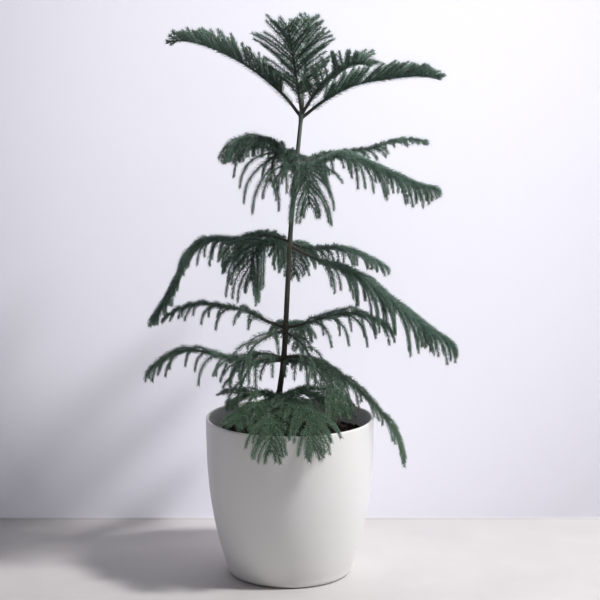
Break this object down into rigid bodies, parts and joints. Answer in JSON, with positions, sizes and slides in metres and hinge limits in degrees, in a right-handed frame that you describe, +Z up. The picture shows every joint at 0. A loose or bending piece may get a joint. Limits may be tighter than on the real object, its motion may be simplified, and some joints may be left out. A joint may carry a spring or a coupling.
{
  "type": "potted norfolk island pine",
  "caption": "Young Norfolk Island pine: a slim leaning trunk with tiers of arching needle-leaved fronds, in a plain tapered white pot with a bare soil surface.",
  "frame": {"origin": "centre of the pot's flat underside, on the surface it stands on", "axes": "+Z up the pot's axis and the trunk, -Y towards the viewer's side, +X to the viewer's right"},
  "size_m": [0.3653, 0.2683, 0.6639],
  "materials": {
    "pot": "satin-gloss white",
    "soil": "crumbly dark potting mix of peat and bark",
    "trunk": "thin grey-brown bark",
    "foliage": "waxy bluish dark green needles"
  },
  "bodies": {
    "root": {"pot": "pot", "soil": "soil", "trunk": "trunk", "frond_crown_left": "foliage", "frond_crown_front": "foliage", "frond_crown_front_right": "foliage", "frond_crown_right": "foliage", "frond_crown_back": "foliage", "frond_upper_left": "foliage", "frond_upper_left_front": "foliage", "frond_upper_left_back": "foliage", "frond_upper_back": "foliage", "frond_upper_right_back": "foliage", "frond_upper_right": "foliage", "frond_upper_front": "foliage", "frond_middle_left": "foliage", "frond_middle_left_back": "foliage", "frond_middle_back": "foliage", "frond_middle_right_back": "foliage", "frond_middle_right": "foliage", "frond_middle_front": "foliage", "frond_lower_left": "foliage", "frond_lower_left_front": "foliage", "frond_lower_right": "foliage", "frond_lower_right_front": "foliage", "frond_lower_back": "foliage", "frond_base_left": "foliage", "frond_base_left_back": "foliage", "frond_base_left_front": "foliage", "frond_base_right": "foliage", "frond_base_right_back": "foliage", "frond_base_right_front": "foliage", "frond_foot_left": "foliage", "frond_foot_left_front": "foliage", "frond_foot_front": "foliage", "frond_foot_front_right": "foliage", "frond_foot_right": "foliage"}
  },
  "joints": []
}
